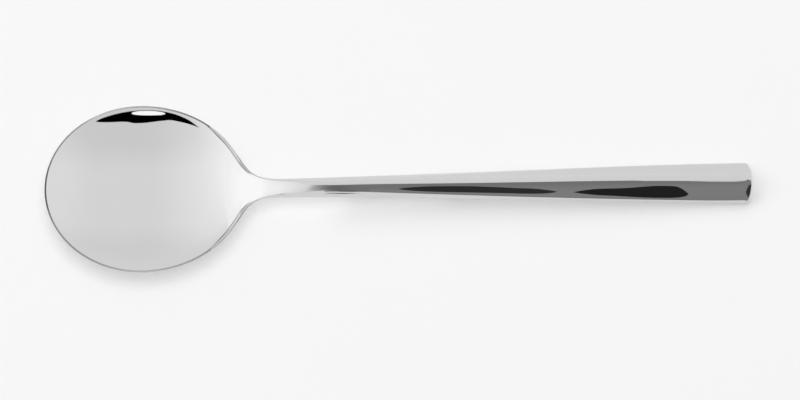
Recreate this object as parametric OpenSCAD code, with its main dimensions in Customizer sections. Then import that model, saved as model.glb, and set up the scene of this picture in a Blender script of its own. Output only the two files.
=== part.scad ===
// Salad serving spoon: an oval pressed bowl on a hollow, softly ridged handle.
// It lies along X with the bowl's tip at -X and the butt at +X, and rests on the plane Z = 0.
// The origin is on that plane, under the middle of the spoon's length.
// Every form is a loft: half sections across the spoon are worked out, mirrored and skinned.

/* [Overall] */
// Length from the bowl's tip to the butt
spoon_length = 250; // [242:1:260]

/* [Bowl] */
// Length of the bowl's oval
bowl_length = 71; // [67:1:75]
// Distance from the tip to the oval's widest place
bowl_front = 34; // [32:0.5:36]
// Width of the bowl's oval
bowl_width = 60; // [56:0.5:64]
// Depth of the cavity below the rim
bowl_depth = 10.8; // [9.6:0.2:12]
// Wall thickness at the bottom of the bowl
bowl_floor = 1.8; // [1.4:0.1:2.4]
// Exponent of the bowl's wall: 2 is a parabola, more is flatter with a steeper rim
bowl_power = 2.2; // [2:0.1:2.6]
// Width of the flat rim round the bowl
rim_land = 0.5; // [0.4:0.05:0.8]
// Width of the flat rim where it swells beside the neck
rim_land_neck = 1.45; // [1:0.05:1.6]
// Height of the rim's upright outer edge
rim_edge = 0.7; // [0.5:0.1:1]

/* [Neck] */
// Width of the neck at its slimmest
neck_width = 6.9; // [6.4:0.1:8]
// Distance from the end of the oval to the slimmest place
neck_reach = 12; // [8:0.5:14]
// Height of the handle's underside above the table where it leaves the neck
neck_clearance = 7.8; // [7:0.1:8.6]
// How far the neck dips below the rim and the handle
neck_dip = 2.4; // [0:0.1:3]
// Softness of the roll from the cavity and the underside into the neck
neck_roll = 2.6; // [1.5:0.1:3.5]
// Distance from the slimmest place to the joint with the handle
joint_reach = 20; // [16:1:24]

/* [Handle] */
// Width of the handle at the butt
butt_width = 14.9; // [13:0.1:16]
// Length of the heel, where the base levels out at the butt
heel_length = 12; // [10:1:16]
// Share of the handle's fall that comes in the bend down to the heel
heel_bend = 0.2; // [0:0.05:0.4]
// Depth ground off the base to make the heel flat
heel_grind = 0.3; // [0.2:0.05:0.4]
// Slope of the two upper faces next to the ridge, in degrees
ridge_pitch = 37; // [30:1:40]
// Extra steepness of the upper faces away from the ridge, per mm of width
face_crown = 0.018; // [0:0.002:0.03]
// Rounding of the ridge
ridge_round = 0.25; // [0.15:0.05:0.5]
// Inward lean of the side faces at the joint
lean_joint = 2.1; // [1.6:0.1:2.2]
// Inward lean of the side faces where they are narrowest
lean_least = 0.5; // [0.3:0.1:0.9]
// Distance from the butt to the place where the side faces are narrowest
lean_least_back = 40; // [30:1:60]
// Height of the lower half of the handle, from its base to the seam
lower_height = 1.8; // [1.6:0.1:2.2]
// How far the butt bows out along the middle
butt_bow = 1.4; // [0.6:0.1:2]
// Rounding of the butt's edges
butt_round = 1.2; // [0.8:0.1:1.4]

/* [Hollow handle] */
// Thickness of the pressed shells
shell_wall = 1; // [0.8:0.1:1.2]
// Thickness of the butt's end wall
butt_wall = 1.6; // [1.4:0.1:2.4]
// Thickness of the solder between the tang's root and the shells
solder_gap = 0.2; // [0.15:0.05:0.3]
// Length of the tang's root, which plugs the mouth of the shells
root_length = 10; // [6:1:14]
// Length of the slim tang beyond its root
tang_length = 42; // [25:1:60]
// Size of the slim tang at its end, as a share of the root
tang_taper = 0.5; // [0.4:0.05:0.7]

/* [Hidden] */

steel = "gainsboro";
solder_colour = "lightslategray";
resin_colour = "tan";

// Landmarks along the spoon
tip_x = -spoon_length / 2;
butt_x = spoon_length / 2;
bowl_back = bowl_length - bowl_front;
bowl_b = bowl_width / 2;
bowl_x = tip_x + bowl_front;
oval_end_x = tip_x + bowl_length;
neck_x = oval_end_x + neck_reach;
joint_x = neck_x + joint_reach;
root_x = joint_x + root_length;
tang_x = root_x + tang_length;
heel_x = butt_x - heel_length;
bow_x = butt_x - lean_least_back / 2;
hollow_end_x = butt_x - butt_round - butt_wall;

// Place where the rim swells beside the neck, and how far along the spoon the swelling runs out
swell_x = oval_end_x - 6.3;
swell_reach = 5;

// Places where the dip of the neck starts, is full, and starts to end
dip_start_x = oval_end_x - 7;
dip_full_x = oval_end_x + 3;
dip_leave_x = oval_end_x + 8;

// Height of the rim
rim_z = bowl_floor + bowl_depth;

neck_half = neck_width / 2;
butt_half = butt_width / 2;

// Pulls of the plan curves: the fillet's two ends, and the two ends of the handle's taper
fillet_angle = 149;
fillet_pull_oval = 10.5;
fillet_pull_neck = 11.4;
taper_pull_neck = 38.5;
taper_pull_butt = 31;

// How late the bend to the heel comes, and how softly the fall starts and ends
bend_power = 8;
fall_start_soft = 0.1;
fall_end_soft = 0.05;

// Shares that shape the section
tip_fan = 0.45;
lean_limit = 0.62;
side_least = 1.4;
side_per_lean = 0.75;
base_inset = 0.9;
eave_round = 0.45;
base_round = 0.8;
roof_inset = 1 / cos(ridge_pitch);
eave_inset = 0.55;
draft = 0.4;

// Steps of the lofts
oval_steps = 26;
fillet_steps = 10;
neck_steps = 8;
bowl_roof_steps = 12;
bowl_base_steps = 9;
roof_steps = 7;
base_steps = 3;
corner_steps = 3;
handle_steps = 14;
round_steps = 4;
roof_spread = 1.6;
solve_steps = 30;

// Plain helpers

function mix(a, b, t) = a + (b - a) * t;

function ease(t) =
    let (c = min(1, max(0, t)))
    c * c * (3 - 2 * c);

function bezier(a, b, c, d, t) =
    a * pow(1 - t, 3) + b * 3 * t * pow(1 - t, 2) + c * 3 * t * t * (1 - t) + d * pow(t, 3);

function bezier_slope(a, b, c, d, t) =
    3 * ((b - a) * pow(1 - t, 2) + (c - b) * 2 * t * (1 - t) + (d - c) * t * t);

function soft_max(a, b, k) = (a + b + sqrt(pow(a - b, 2) + k * k)) / 2;

function soft_min(a, b, k) = (a + b - sqrt(pow(a - b, 2) + k * k)) / 2;

function unit(v) = v / norm(v);

function reversed(list) = [for (i = [len(list) - 1:-1:0]) list[i]];

function slice(list, first, last) = [for (i = [first:last]) list[i]];

// Plan of the spoon

// Point of the bowl's oval, which is blunter toward the tip. The angle runs from the tip.
function oval(angle, inset = 0) =
    let (along = angle < 90 ? bowl_front : bowl_back)
    [bowl_x - (along - inset) * cos(angle), (bowl_b - inset) * sin(angle)];

// Direction of the oval between its widest place and the neck
function oval_tangent(angle) = unit([bowl_back * sin(angle), bowl_b * cos(angle)]);

// Place within the oval: 0 is its middle and 1 its edge
function oval_reach(x, y, inset = 0) =
    let (along = x < bowl_x ? bowl_front : bowl_back)
    norm([(x - bowl_x) / (along - inset), y / (bowl_b - inset)]);

fillet_start = oval(fillet_angle);
fillet_lead = fillet_start + oval_tangent(fillet_angle) * fillet_pull_oval;
fillet_end = [neck_x, neck_half];
fillet_tail = fillet_end - [fillet_pull_neck, 0];

function fillet(t) = bezier(fillet_start, fillet_lead, fillet_tail, fillet_end, t);

function fillet_tangent(t) = unit(bezier_slope(fillet_start, fillet_lead, fillet_tail, fillet_end, t));

function taper_x(t) =
    bezier(neck_x, neck_x + taper_pull_neck, butt_x - taper_pull_butt, butt_x, t);

// Place on the taper curve that lies at a given X, by halving
function taper_t(x, low = 0, high = 1, steps = solve_steps) =
    let (middle = (low + high) / 2)
    steps == 0 ? middle
    : taper_x(middle) < x ? taper_t(x, middle, high, steps - 1)
    : taper_t(x, low, middle, steps - 1);

function half_width(x) = bezier(neck_half, neck_half, butt_half, butt_half, taper_t(x));

// Height of the pressed base: it falls evenly from the neck, and bends to just below the table at the heel
function base_z(x) =
    let (
        share = (x - neck_x) / (heel_x - neck_x),
        fall = soft_min(soft_max(share, 0, fall_start_soft), 1, fall_end_soft)
    )
    mix(neck_clearance, -heel_grind, mix(fall, pow(fall, bend_power), heel_bend));

// Half section of the handle at x, as [y, z] points from the ridge round to the middle of the base.
// half is the half width there, and inset gives the same section inside the wall.

function side_lean(x, half) =
    let (slim_x = butt_x - lean_least_back)
    min(lean_limit * half, mix(lean_least, lean_joint, pow((x - slim_x) / (joint_x - slim_x), 2)));

function roof_drop(y) =
    norm([tan(ridge_pitch) * y, ridge_round]) - ridge_round + face_crown * y * y;

function seam_index(roofs) = roofs + corner_steps + 2;

function half_section(x, half, inset, roofs, bases, spread = roof_spread) =
    let (
        lean = side_lean(x, half),
        eave_y = half - lean,
        seam_z = base_z(x) + lower_height,
        ridge_z = seam_z + side_least + side_per_lean * lean + roof_drop(eave_y) - inset * roof_inset,
        inner_eave_y = eave_y - inset * eave_inset,
        eave = [inner_eave_y, ridge_z - roof_drop(inner_eave_y)],
        seam = [half - inset, seam_z],
        base = [half - base_inset - inset, base_z(x) + inset],
        round_y = min(eave_round, inner_eave_y / 2),
        roof_end = [inner_eave_y - round_y, ridge_z - roof_drop(inner_eave_y - round_y)],
        side_start = eave + (seam - eave) * eave_round / norm(seam - eave),
        low_round = min(base_round, norm(seam - base) / 2, base[0] / 2),
        low_start = base + (seam - base) * low_round / norm(seam - base),
        low_end = base - [low_round, 0]
    )
    concat(
        [for (i = [0:roofs])
            let (y = roof_end[0] * pow(i / roofs, spread))
            [y, ridge_z - roof_drop(y)]],
        [for (i = [1:corner_steps + 1])
            let (t = i / (corner_steps + 1))
            mix(mix(roof_end, eave, t), mix(eave, side_start, t), t)],
        [seam],
        [for (i = [0:corner_steps])
            let (t = i / corner_steps)
            mix(mix(low_start, base, t), mix(base, low_end, t), t)],
        [for (i = [1:bases]) [low_end[0] * (1 - i / bases), base[1]]]
    );

// The butt bows out, so a section near it is bent along X
function bowed_x(x, y) =
    x - butt_bow * pow(y / butt_half, 2) * ease((x - bow_x) / (butt_x - bow_x));

function placed(x, points) = [for (p = points) [bowed_x(x, p[0]), p[0], p[1]]];

function mirrored(points) = [for (p = points) [p[0], -p[1], p[2]]];

function handle_half(x, inset, roofs, bases) =
    placed(x, half_section(x, half_width(x), inset, roofs, bases));

// Closed section from half a section that starts and ends on the middle plane
function whole(half) = concat(half, reversed(mirrored(slice(half, 1, len(half) - 2))));

// Bowl

// Share of the way from the middle of the bowl to the neck
function neck_share(x) = min(1, max(0, (x - bowl_x) / bowl_back));

// The cavity rolls over into the neck near the middle plane, and meets the rim sharply elsewhere
function cavity_z(x, y, inner_y) =
    let (
        share = neck_share(x),
        roll = share == 0 ? 0 : neck_roll * share * share * (1 - pow(y / inner_y, 2))
    )
    rim_z - soft_max(bowl_depth * (1 - pow(oval_reach(x, y, rim_land), bowl_power)), 0, roll);

function keel_z(x) =
    let (share = (x - bowl_x) / bowl_back)
    soft_min((rim_z - rim_edge) * pow(share, bowl_power), base_z(x), neck_roll * pow(neck_share(x), 2));

function underside_z(x, y, outer_y, edge_z) =
    x <= bowl_x
        ? edge_z * pow(oval_reach(x, y), bowl_power)
        : mix(keel_z(x), edge_z, pow(y / outer_y, bowl_power));

// A rib is half a section of the bowl: [outer rim point, inner rim point, X on the middle plane].
// Ribs fan out round the tip and stand square to the spoon from the widest place on.

function rim_width(x) =
    mix(rim_land, rim_land_neck, ease(1 - abs(x - swell_x) / swell_reach));

// Rib that stands square to the spoon, where the rim runs along the tangent
function square_rib(outer, tangent) = [outer, outer - [0, rim_width(outer[0]) / tangent[0]], outer[0]];

function oval_rib(angle) =
    angle <= 90
        ? [oval(angle), oval(angle, rim_land), bowl_x - tip_fan * bowl_front * cos(angle)]
        : square_rib(oval(angle), oval_tangent(angle));

ribs = concat(
    [for (i = [0:oval_steps]) oval_rib(fillet_angle * i / oval_steps)],
    [for (i = [1:fillet_steps]) square_rib(fillet(i / fillet_steps), fillet_tangent(i / fillet_steps))],
    [for (i = [1:neck_steps])
        let (x = mix(neck_x, joint_x, i / neck_steps))
        square_rib([x, half_width(x)], [1, 0])]
);

function bowl_half(rib, spread) =
    let (
        outer = rib[0],
        inner = rib[1],
        middle = [rib[2], 0],
        land_z = cavity_z(inner[0], inner[1], inner[1]),
        edge_z = land_z - rim_edge,
        lower_steps = corner_steps + 1 + bowl_base_steps
    )
    concat(
        [for (i = [0:bowl_roof_steps])
            let (p = mix(middle, inner, pow(i / bowl_roof_steps, spread)))
            [p[0], p[1], cavity_z(p[0], p[1], inner[1])]],
        [for (i = [1:corner_steps + 1])
            let (p = mix(inner, outer, i / (corner_steps + 1)))
            [p[0], p[1], land_z]],
        [[outer[0], outer[1], edge_z]],
        [for (i = [1:lower_steps])
            let (p = mix(outer, middle, i / lower_steps))
            [p[0], p[1], underside_z(p[0], p[1], outer[1], edge_z)]]
    );

// Depth of the neck's dip, which takes the whole section down
function dip(x) =
    neck_dip * ease((x - dip_start_x) / (dip_full_x - dip_start_x))
    * (1 - ease((x - dip_leave_x) / (joint_x - dip_leave_x)));

// The neck turns the bowl's section into the handle's between the end of the oval and the joint
function rib_half(rib) =
    let (
        x = rib[2],
        share = ease((x - oval_end_x) / (joint_x - oval_end_x)),
        spread = mix(1, roof_spread, share),
        bowl_points = bowl_half(rib, spread),
        handle_points = placed(x, half_section(x, rib[0][1], 0, bowl_roof_steps, bowl_base_steps, spread)),
        points = share == 0 ? bowl_points : mix(bowl_points, handle_points, share)
    )
    [for (p = points) p - [0, 0, dip(x)]];

// Tang: the root fills the mouth of the shells, and a slim bar runs on into the resin

root_inset = shell_wall + solder_gap;

function root_half(x) = handle_half(x, root_inset, bowl_roof_steps, bowl_base_steps);

function middle_z(half) = (half[0][2] + half[len(half) - 1][2]) / 2;

function tang_half(x) =
    let (
        root = root_half(root_x),
        here = root_half(x),
        size = mix(1, tang_taper, 0.5 + 0.5 * (x - root_x) / tang_length)
    )
    [for (p = root) [x, p[1] * size, middle_z(here) + (p[2] - middle_z(root)) * size]];

tang_rings = [for (i = [0:3]) whole(tang_half(mix(root_x, tang_x, i / 3)))];

// Skins

function quad(a, b, c, d) = [[a, b, c], [a, c, d]];

function flat(lists) = [for (list = lists) each list];

// Skin over closed rings of equal length. loop joins the last ring to the first, else both ends are capped.
module skin(rings, loop = false) {
    count = len(rings);
    size = len(rings[0]);
    last = loop ? count - 1 : count - 2;
    walls = flat([for (i = [0:last], k = [0:size - 1])
        let (j = (i + 1) % count, n = (k + 1) % size)
        quad(i * size + k, i * size + n, j * size + n, j * size + k)]);
    caps = loop ? [] : [
        [for (k = [size - 1:-1:0]) k],
        [for (k = [0:size - 1]) (count - 1) * size + k]
    ];
    polyhedron(flat(rings), concat(walls, caps));
}

// Skin over the loops of a half shell. Each loop runs out along one contour and back along the other,
// so its two ends are closed by strips between the contours.
module shell_skin(loops) {
    count = len(loops);
    size = len(loops[0]);
    walls = flat([for (i = [0:count - 2], k = [0:size - 1])
        let (n = (k + 1) % size)
        quad(i * size + k, i * size + n, (i + 1) * size + n, (i + 1) * size + k)]);
    first_strip = flat([for (k = [0:size / 2 - 2])
        quad(k, size - 1 - k, size - 2 - k, k + 1)]);
    base = (count - 1) * size;
    last_strip = flat([for (k = [0:size / 2 - 2])
        quad(base + k, base + k + 1, base + size - 2 - k, base + size - 1 - k)]);
    polyhedron(flat(loops), concat(walls, first_strip, last_strip));
}

// Skin of the bowl: ribs run from the joint on one side, round the tip, to the joint on the other.
// Both sides share the points of the middle plane, and the root and tang close the open end.
module bowl_skin() {
    halves = [for (rib = ribs) rib_half(rib)];
    size = len(halves[0]);
    tip = len(halves) - 1;
    rows = concat(reversed([for (half = halves) mirrored(half)]), slice(halves, 1, tip));
    function at(row, k) =
        row > tip && (k == 0 || k == size - 1) ? (2 * tip - row) * size + k : row * size + k;
    walls = flat([for (row = [0:2 * tip - 1], k = [0:size - 2])
        quad(at(row, k), at(row, k + 1), at(row + 1, k + 1), at(row + 1, k))]);
    mouth = concat(
        [for (k = [0:size - 1]) at(2 * tip, k)],
        [for (k = [size - 2:-1:1]) at(0, k)]
    );
    rings = concat([whole(root_half(joint_x)), whole(root_half(root_x))], tang_rings);
    ring_size = len(mouth);
    ring_base = (2 * tip + 1) * size;
    root_end = len(rings) - 1;
    function ring_at(ring, k) = ring < 0 ? mouth[k] : ring_base + ring * ring_size + k;
    tang_walls = flat([for (ring = [-1:root_end - 1], k = [0:ring_size - 1])
        let (n = (k + 1) % ring_size)
        quad(ring_at(ring, k), ring_at(ring, n), ring_at(ring + 1, n), ring_at(ring + 1, k))]);
    tang_cap = [for (k = [0:ring_size - 1]) ring_at(root_end, k)];
    polyhedron(concat(flat(rows), flat(rings)), concat(walls, tang_walls, [tang_cap]));
}

// Half shells of the handle

function top_contour(x, inset) =
    let (half = slice(handle_half(x, inset, roof_steps, base_steps), 0, seam_index(roof_steps)))
    concat(reversed(half), mirrored(slice(half, 1, len(half) - 1)));

function bottom_contour(x, inset) =
    let (
        all = handle_half(x, inset, roof_steps, base_steps),
        half = slice(all, seam_index(roof_steps), len(all) - 1)
    )
    concat(half, reversed(mirrored(slice(half, 0, len(half) - 2))));

// Loop of a shell: along its outside, and back along its inside
function hollow_loop(outside, inside) = concat(outside, reversed(inside));

// Loop of the butt's end wall: along the outside, and straight back across the seam
function solid_loop(outside, inside) =
    concat(outside, reversed([for (p = inside) [p[0], p[1], outside[0][2]]]));

hollow_stations = concat(
    [joint_x],
    [for (i = [0:handle_steps]) mix(root_x, hollow_end_x, i / handle_steps)]
);

// The wall's inner face leans by the draft, and the outer edges roll in towards the butt
wall_stations = concat(
    [[hollow_end_x + draft, 0]],
    [for (i = [0:round_steps])
        let (angle = 90 * i / round_steps)
        [butt_x - butt_round * (1 - sin(angle)), butt_round * (1 - cos(angle))]]
);

module bowl() {
    color(steel)
        bowl_skin();
}

module handle_top_shell() {
    color(steel)
        shell_skin(concat(
            [for (x = hollow_stations) hollow_loop(top_contour(x, 0), top_contour(x, shell_wall))],
            [for (s = wall_stations)
                solid_loop(top_contour(s[0], s[1]), top_contour(s[0], s[1] + shell_wall))]
        ));
}

// The lower half is ground flat on the table plane, which makes the heel
module handle_bottom_shell() {
    color(steel)
        difference() {
            shell_skin(concat(
                [for (x = hollow_stations) hollow_loop(bottom_contour(x, 0), bottom_contour(x, shell_wall))],
                [for (s = wall_stations)
                    solid_loop(bottom_contour(s[0], s[1]), bottom_contour(s[0], s[1] + shell_wall))]
            ));
            translate([joint_x, -butt_width, -butt_width])
                cube([spoon_length, 2 * butt_width, butt_width]);
        }
}

// The solder lines the mouth of the shells, round the root of the tang
module neck_solder() {
    color(solder_colour)
        skin([
            whole(handle_half(joint_x, shell_wall, bowl_roof_steps, bowl_base_steps)),
            whole(handle_half(root_x, shell_wall, bowl_roof_steps, bowl_base_steps)),
            whole(root_half(root_x)),
            whole(root_half(joint_x))
        ], loop = true);
}

// The resin fills the shells from the root of the tang to the butt, with a blind hole for the tang
module handle_filler() {
    color(resin_colour)
        skin(concat(
            reversed([for (x = slice(hollow_stations, 1, len(hollow_stations) - 1))
                whole(handle_half(x, shell_wall, bowl_roof_steps, bowl_base_steps))]),
            tang_rings
        ));
}

bowl();
handle_top_shell();
handle_bottom_shell();
neck_solder();
handle_filler();
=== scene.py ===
"""Salad serving spoon: a mirror-polished bowl on a hollow, softly ridged handle, on a pale studio floor."""
import math

import bmesh
import bpy
import numpy as np
from mathutils import Matrix, Vector


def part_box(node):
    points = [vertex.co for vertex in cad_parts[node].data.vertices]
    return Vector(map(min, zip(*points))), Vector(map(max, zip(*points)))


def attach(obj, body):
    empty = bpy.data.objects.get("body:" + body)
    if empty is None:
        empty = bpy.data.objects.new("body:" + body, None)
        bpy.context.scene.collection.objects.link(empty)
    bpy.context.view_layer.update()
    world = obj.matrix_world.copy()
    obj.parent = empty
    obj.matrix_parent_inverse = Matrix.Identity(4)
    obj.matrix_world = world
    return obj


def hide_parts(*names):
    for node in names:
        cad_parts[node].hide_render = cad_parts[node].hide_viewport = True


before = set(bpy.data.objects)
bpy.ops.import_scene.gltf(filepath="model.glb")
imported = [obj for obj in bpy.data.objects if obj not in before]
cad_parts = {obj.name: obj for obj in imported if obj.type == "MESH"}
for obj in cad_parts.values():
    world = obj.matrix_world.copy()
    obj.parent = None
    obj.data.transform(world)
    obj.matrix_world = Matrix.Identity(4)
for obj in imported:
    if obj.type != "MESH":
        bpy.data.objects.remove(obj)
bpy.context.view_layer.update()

MM = 0.001

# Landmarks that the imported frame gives
BOWL_LOW, BOWL_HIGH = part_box("bowl")
SHELL_LOW, SHELL_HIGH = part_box("handle_top_shell")
TIP_X = BOWL_LOW.x
TANG_X = BOWL_HIGH.x
JOINT_X = SHELL_LOW.x
BUTT_X = SHELL_HIGH.x

# Bowl
BOWL_LENGTH = 71 * MM
BOWL_FRONT = 34 * MM
BOWL_BACK = BOWL_LENGTH - BOWL_FRONT
BOWL_HALF = 60 * MM / 2
BOWL_X = TIP_X + BOWL_FRONT
BOWL_DEPTH = 10.8 * MM
BOWL_FLOOR = 1.8 * MM
BOWL_POWER = 2.2
RIM_LAND = 0.5 * MM
RIM_EDGE = 0.7 * MM
RIM_Z = BOWL_FLOOR + BOWL_DEPTH
TIP_FAN = 0.45

# Neck
NECK_HALF = 6.9 * MM / 2
NECK_CLEARANCE = 7.8 * MM
NECK_DIP = 2.4 * MM
NECK_ROLL = 2.6 * MM
OVAL_END_X = TIP_X + BOWL_LENGTH
NECK_X = OVAL_END_X + 12 * MM
DIP_START_X = OVAL_END_X - 7 * MM
DIP_FULL_X = OVAL_END_X + 3 * MM
DIP_LEAVE_X = OVAL_END_X + 8 * MM
FILLET_ANGLE = math.radians(149)
FILLET_PULL_OVAL = 10.5 * MM
FILLET_PULL_NECK = 11.4 * MM

# Wide land of the rim beside the neck, which is longer and more even here than on the CAD node
RIM_LAND_NECK = 1.25 * MM
SWELL_X = OVAL_END_X - 5.5 * MM
SWELL_REACH = 9 * MM
SWELL_FLAT = 1.5

# Handle
BUTT_HALF = 14.9 * MM / 2
HEEL_X = BUTT_X - 12 * MM
BEND_SHARE = 0.2
BEND_POWER = 8
FALL_START_SOFT = 0.1
FALL_END_SOFT = 0.05
HEEL_GRIND = 0.3 * MM
RIDGE_SLOPE = math.tan(math.radians(37))
FACE_CROWN = 0.018 / MM
RIDGE_ROUND = 0.25 * MM
LEAN_JOINT = 2.1 * MM
LEAN_LEAST = 0.5 * MM
SLIM_X = BUTT_X - 40 * MM
BOW_X = BUTT_X - 20 * MM
LOWER_HEIGHT = 1.8 * MM
BUTT_BOW = 1.4 * MM
BUTT_ROUND = 1.2 * MM
TAPER_PULL_NECK = 38.5 * MM
TAPER_PULL_BUTT = 31 * MM
LEAN_LIMIT = 0.62
SIDE_LEAST = 1.4 * MM
SIDE_PER_LEAN = 0.75
BASE_INSET = 0.9 * MM

# Wall of the hollow handle, and the tang inside it
SHELL_WALL = 1 * MM
BUTT_WALL = 1.6 * MM
SOLDER_GAP = 0.2 * MM
ROOT_X = JOINT_X + 10 * MM
ROOT_INSET = SHELL_WALL + SOLDER_GAP
TANG_TAPER = 0.5
TANG_START = 0.5
HOLLOW_END_X = BUTT_X - BUTT_ROUND - BUTT_WALL
DRAFT = 0.4 * MM
ROOF_INSET = math.sqrt(1 + RIDGE_SLOPE ** 2)
EAVE_INSET = 0.55

# Rounded edges
EAVE_ROUND = 0.45 * MM
SEAM_ROUND = 0.3 * MM
BASE_ROUND = 0.8 * MM
RIM_IN_ROUND = 0.1 * MM
RIM_OUT_ROUND = 0.35 * MM
RIM_LOW_ROUND = 0.2 * MM

# Steps of the fine meshes
OVAL_STEPS = 150
FILLET_STEPS = 48
NECK_STEPS = 44
HANDLE_STEPS = 120
ROUND_STEPS = 12
ROOF_STEPS = 56
ROOF_HOLD = 0.998
ROOF_SHARES = [ROOF_HOLD * i / (ROOF_STEPS - 1) for i in range(ROOF_STEPS)] + [1.0]
CORNER_STEPS = 6
LAND_STEPS = 4
EAVE_STEPS = 2 * CORNER_STEPS + LAND_STEPS
SIDE_STEPS = 5
BASE_STEPS = 40
TANG_STEPS = 3
ROOF_SPREAD = 1.6
SOLVE_STEPS = 40
SEAM_AT = ROOF_STEPS + EAVE_STEPS + SIDE_STEPS + CORNER_STEPS // 2
EDGE_AT = ROOF_STEPS + CORNER_STEPS + LAND_STEPS
SHARP_ANGLE = math.radians(40)
MERGE_DISTANCE = 1e-7

# Picture
CAMERA_ELEVATION = math.radians(78)
CAMERA_ROLL = math.radians(1.15)
CAMERA_DISTANCE = 5.0
FRAME_WIDTH = 282.8 * MM
CAMERA_AIM = Vector((0.42 * MM, -4.3 * MM, 5 * MM))
SENSOR = 36.0
CLIP_NEAR, CLIP_FAR = 0.01, 100.0

# Places of the bowl's materials
STEEL_SLOT, GROUND_PAINTED_SLOT, LAND_PAINTED_SLOT = range(3)

# Polished steel
STEEL = 0.67
STEEL_VARIATION = 0.012
BUFFING_STRETCH = (1, 14, 14)
BUFFING_ROUGH = (0.012, 0.03)
BUFFING_HEIGHT = 0.0002 * MM

# Ground rim: painted reflection tones as (x in millimetres, tone) at the back, at the front, and on the wide
# land by the neck
BACK_PAINTED_REFLECTION = [(-125, 0.03), (-123.5, 0.1), (-121, 0.26), (-110, 0.38), (-105, 0.6), (-91, 0.5), (-80, 0.38),
              (-72, 0.22), (-62, 0.15), (-58.5, 0.3), (-51.5, 0.3), (-48.5, 0.42), (-45.5, STEEL)]
FRONT_PAINTED_REFLECTION = [(-125, 0.03), (-123.5, 0.1), (-121, 0.28), (-110, 0.3), (-91, 0.5), (-72, 0.37), (-65, 0.3),
               (-62, 0.2), (-58.5, 0.3), (-55, 0.35), (-48, STEEL)]
LAND_PAINTED_REFLECTION = [(-66, 0.55), (-60, 0.5), (-54, 0.5), (-47, STEEL)]
# Half of the stretch across the middle where the painted reflection tones of the front turn into those of
# the back
RIM_SIDES = 6 * MM
RIM_GRAIN = 2 * MM
RIM_GRAIN_HEIGHT = 0.001 * MM
GROUND_ROUGH = 0.15
POLISH_ROUGH = 0.05
GROUND_END = OVAL_END_X - 6 * MM
POLISH_START = OVAL_END_X + 6 * MM
LAND_START = SWELL_X - 7 * MM
INNER_GROUND_END = SWELL_X + 7 * MM
OUTER_GROUND_START = SWELL_X + 2.5 * MM

# Inside of the handle
SOLDER_DARK, SOLDER_PALE = (0.5, 0.5, 0.48), (0.64, 0.64, 0.62)
SOLDER_ROUGH = (0.35, 0.6)
SOLDER_HEIGHT = 0.02 * MM
RESIN_DARK, RESIN_PALE = (0.44, 0.33, 0.2), (0.6, 0.47, 0.3)
RESIN_ROUGH = (0.55, 0.8)
RESIN_HEIGHT = 0.05 * MM

# Noise of the materials as (scale, detail)
STEEL_NOISE = (60, 3)
BUFFING_NOISE = (110, 4)
RIM_NOISE = (700, 4)
SOLDER_NOISE = (900, 5)
RESIN_NOISE = (400, 6)
FLOOR_NOISE = (30, 3)

# Floor and light. The world's fill, the two keys and the open fill add up to 1 on the open floor
FLOOR_TONE = 0.93
FLOOR_VARIATION = 0.004
FLOOR_REACH = 4.0
WORLD_FILL = 0.36
BOWL_KEY = 0.285
BOWL_KEY_ELEVATION = math.radians(83)
BOWL_KEY_SPREAD = math.radians(34)
HANDLE_KEY = 0.28
HANDLE_KEY_ELEVATION = math.radians(56)
HANDLE_KEY_ACROSS = math.radians(40)
HANDLE_KEY_ALONG = math.radians(100)
HANDLE_KEY_DISTANCE = 3.0
KEY_AZIMUTH = math.radians(100)
HANDLE_KEY_AZIMUTH = math.radians(125)
OPEN_FILL = 1 - WORLD_FILL - BOWL_KEY - HANDLE_KEY
OPEN_FILL_ELEVATION = math.radians(80)
OPEN_FILL_SPREAD = math.radians(90)

# Lamp under the neck, for the floor alone
NECK_FILL = 0.17
NECK_FILL_AT = Vector((-22, -2, 3.2)) * MM
NECK_FILL_SIZE = (84 * MM, 7 * MM)

# What the polished metal sees of the studio
STUDIO_LEVEL = 0.965
# Changes of that level as (axis of the direction, where it starts, where it ends, change)
STUDIO_SIDES = [("X", -0.05, -0.9, 0.205), ("X", 0.5, 0.85, 0.06),
                ("Y", -0.1, -0.65, -0.1), ("Y", 0.6, 0.95, -0.07)]
# Heights of the direction between which the floor's tone gives way to the studio
HORIZON = (0.05, 0.35)

# Studio cards, in millimetres. Upright ones have outlines in (x, z)
CARD_STEPS = 8
CARD_GAP = 0.5
BOWL_CARD_Y = -160
BOWL_FLAG_LOW = [(4, 126), (-11, 120.8), (-36, 115.4), (-68, 110.3), (-96, 107.9), (-120, 107.6),
                 (-145, 111.7), (-166, 118.3), (-191, 129.3), (-225, 149)]
BOWL_FLAG_HIGH = [(4, 126), (-7, 131.1), (-30, 136.1), (-64, 139.7), (-81, 145.7), (-96, 146.4), (-111, 144),
                  (-137, 136.6), (-150, 133.4), (-171, 136.1), (-196, 141), (-225, 149)]
WINDOW_CENTRE = (-108, 114.8)
WINDOW_HALF = (28.6, 6.2)
WINDOW_LEVEL = 1.4
WINDOW_STEPS = 48

# Card along the handle, with levels as (z, level), and the two black lenses on it
HANDLE_CARD_Y = -60
HANDLE_LEVELS = [(14, 0.27), (24, 0.285), (29, 0.29), (34, 0.275), (38, 0.255), (43, 0.235), (60, 0.235)]
HANDLE_FLAG_TOP = [(-20, 66), (15, 64), (60, 62), (92, 62), (103, 57), (111, 50), (117, 44), (122, 42),
                   (126, 48), (131, 68), (150, 75)]
HANDLE_FLAG_LOW = [(150, 0), (-8, 0), (-20, 4)]
LEFT_LENS_LEVEL = 0.035
LEFT_LENS_LOW = [(1, 38.2), (4.2, 35.8), (10.5, 33.5), (18.9, 31.9), (31.7, 30.1), (44.5, 28.2), (51, 27.6),
                 (55.4, 28.1), (57.9, 29.4)]
LEFT_LENS_HIGH = [(1, 38.2), (4.3, 40.5), (8.6, 42.1), (13.5, 43.2), (25.5, 41.5), (34, 38.7), (42.6, 35.8),
                  (49, 34.4), (55.4, 31.4), (57.9, 29.4)]
RIGHT_LENS_LEVEL = 0.02
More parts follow.
